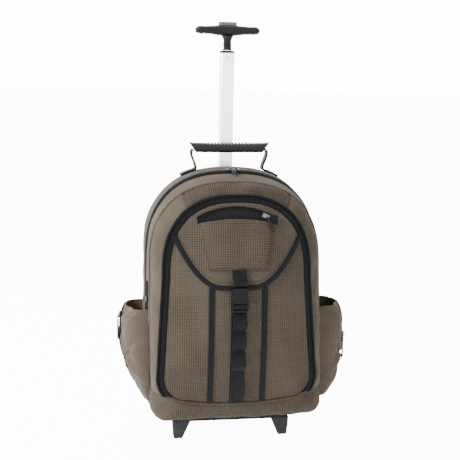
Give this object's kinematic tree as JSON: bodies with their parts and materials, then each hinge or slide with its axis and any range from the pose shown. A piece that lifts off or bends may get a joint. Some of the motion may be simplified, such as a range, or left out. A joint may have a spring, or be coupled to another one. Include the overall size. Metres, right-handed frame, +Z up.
{
  "type": "wheeled backpack",
  "caption": "Upright trolley backpack in woven fabric with a front flap and buckle, bellows side pockets, raised pull-out handle, feet and rear wheels.",
  "frame": {"origin": "bottom centre of the bounding box, on the ground", "axes": "+Z up along the raised handle, -Y out of the bag's front, +X to the right of someone who faces the front"},
  "size_m": [0.455, 0.269, 0.8025],
  "materials": {
    "bag_fabric": "taupe polyester with a fine grid weave",
    "pocket_fabric": "taupe polyester with a fine grid weave, unpadded",
    "webbing": "black ribbed webbing",
    "zip_tape": "black zip tape with a dark coil",
    "zip_metal": "nickel-plated zinc with black pulls",
    "buckle_plastic": "black acetal, satin",
    "grip_plastic": "dark grey moulded rubbery plastic",
    "handle_plastic": "black moulded nylon, satin",
    "button_plastic": "grey, glossy",
    "tube_aluminium": "silver anodised, extruded",
    "spacer_mesh": "black spacer mesh over foam",
    "base_plastic": "black moulded plastic",
    "foot_plastic": "dark grey moulded plastic",
    "axle_steel": "zinc-plated",
    "tyre_rubber": "solid black rubber"
  },
  "bodies": {
    "bag": {"main_back": "bag_fabric", "main_front": "bag_fabric", "front_gusset": "bag_fabric", "bottom_wrap": "bag_fabric", "front_panel": "bag_fabric", "front_flap": "bag_fabric", "slot_pocket": "pocket_fabric", "side_pocket_left": "pocket_fabric", "side_pocket_right": "pocket_fabric", "back_cover": "pocket_fabric", "flap_binding": "webbing", "trim_strip_left": "webbing", "trim_strip_right": "webbing", "daisy_backing": "webbing", "daisy_strap": "webbing", "buckle_tab": "webbing", "carry_strap_left": "webbing", "carry_strap_right": "webbing", "lower_webbing_left": "webbing", "lower_webbing_right": "webbing", "main_zip": "zip_tape", "front_zip": "zip_tape", "slot_zip": "zip_tape", "pocket_tape_left": "zip_tape", "pocket_tape_right": "zip_tape", "slot_slider": "zip_metal", "pocket_slider_left": "zip_metal", "pocket_slider_right": "zip_metal", "main_slider_left": "zip_metal", "main_slider_right": "zip_metal", "buckle_socket": "buckle_plastic", "buckle_plug": "buckle_plastic", "strap_adjuster_left": "buckle_plastic", "strap_adjuster_right": "buckle_plastic", "carry_grip": "grip_plastic", "tube_socket": "handle_plastic", "outer_tube": "tube_aluminium", "back_panel": "spacer_mesh", "shoulder_strap_left": "spacer_mesh", "shoulder_strap_right": "spacer_mesh", "base_plate": "base_plastic", "wheel_housing_left": "base_plastic", "wheel_housing_right": "base_plastic", "foot_left": "foot_plastic", "foot_right": "foot_plastic", "axle_left": "axle_steel", "axle_right": "axle_steel"},
    "handle": {"inner_tube": "tube_aluminium", "tube_collar": "handle_plastic", "grip_neck": "handle_plastic", "pull_grip": "handle_plastic"},
    "button": {"release_button": "button_plastic"},
    "wheel_left": {"wheel_hub_left": "foot_plastic", "tyre_left": "tyre_rubber"},
    "wheel_right": {"wheel_hub_right": "foot_plastic", "tyre_right": "tyre_rubber"}
  },
  "joints": [
    {"name": "handle_slide", "type": "slide", "parent": "bag", "child": "handle", "axis": [0, 0, 1], "range_m": [-0.2, 0]},
    {"name": "button_press", "type": "slide", "parent": "handle", "child": "button", "axis": [0, 0, 1], "range_m": [-0.003, 0], "stiffness_N_per_m": 300},
    {"name": "wheel_left_spin", "type": "hinge", "parent": "bag", "child": "wheel_left", "pos_m": [-0.10747, 0.08023, 0.028], "axis": [1, 0, 0], "continuous": true},
    {"name": "wheel_right_spin", "type": "hinge", "parent": "bag", "child": "wheel_right", "pos_m": [0.08853, 0.08023, 0.028], "axis": [1, 0, 0], "continuous": true}
  ]
}
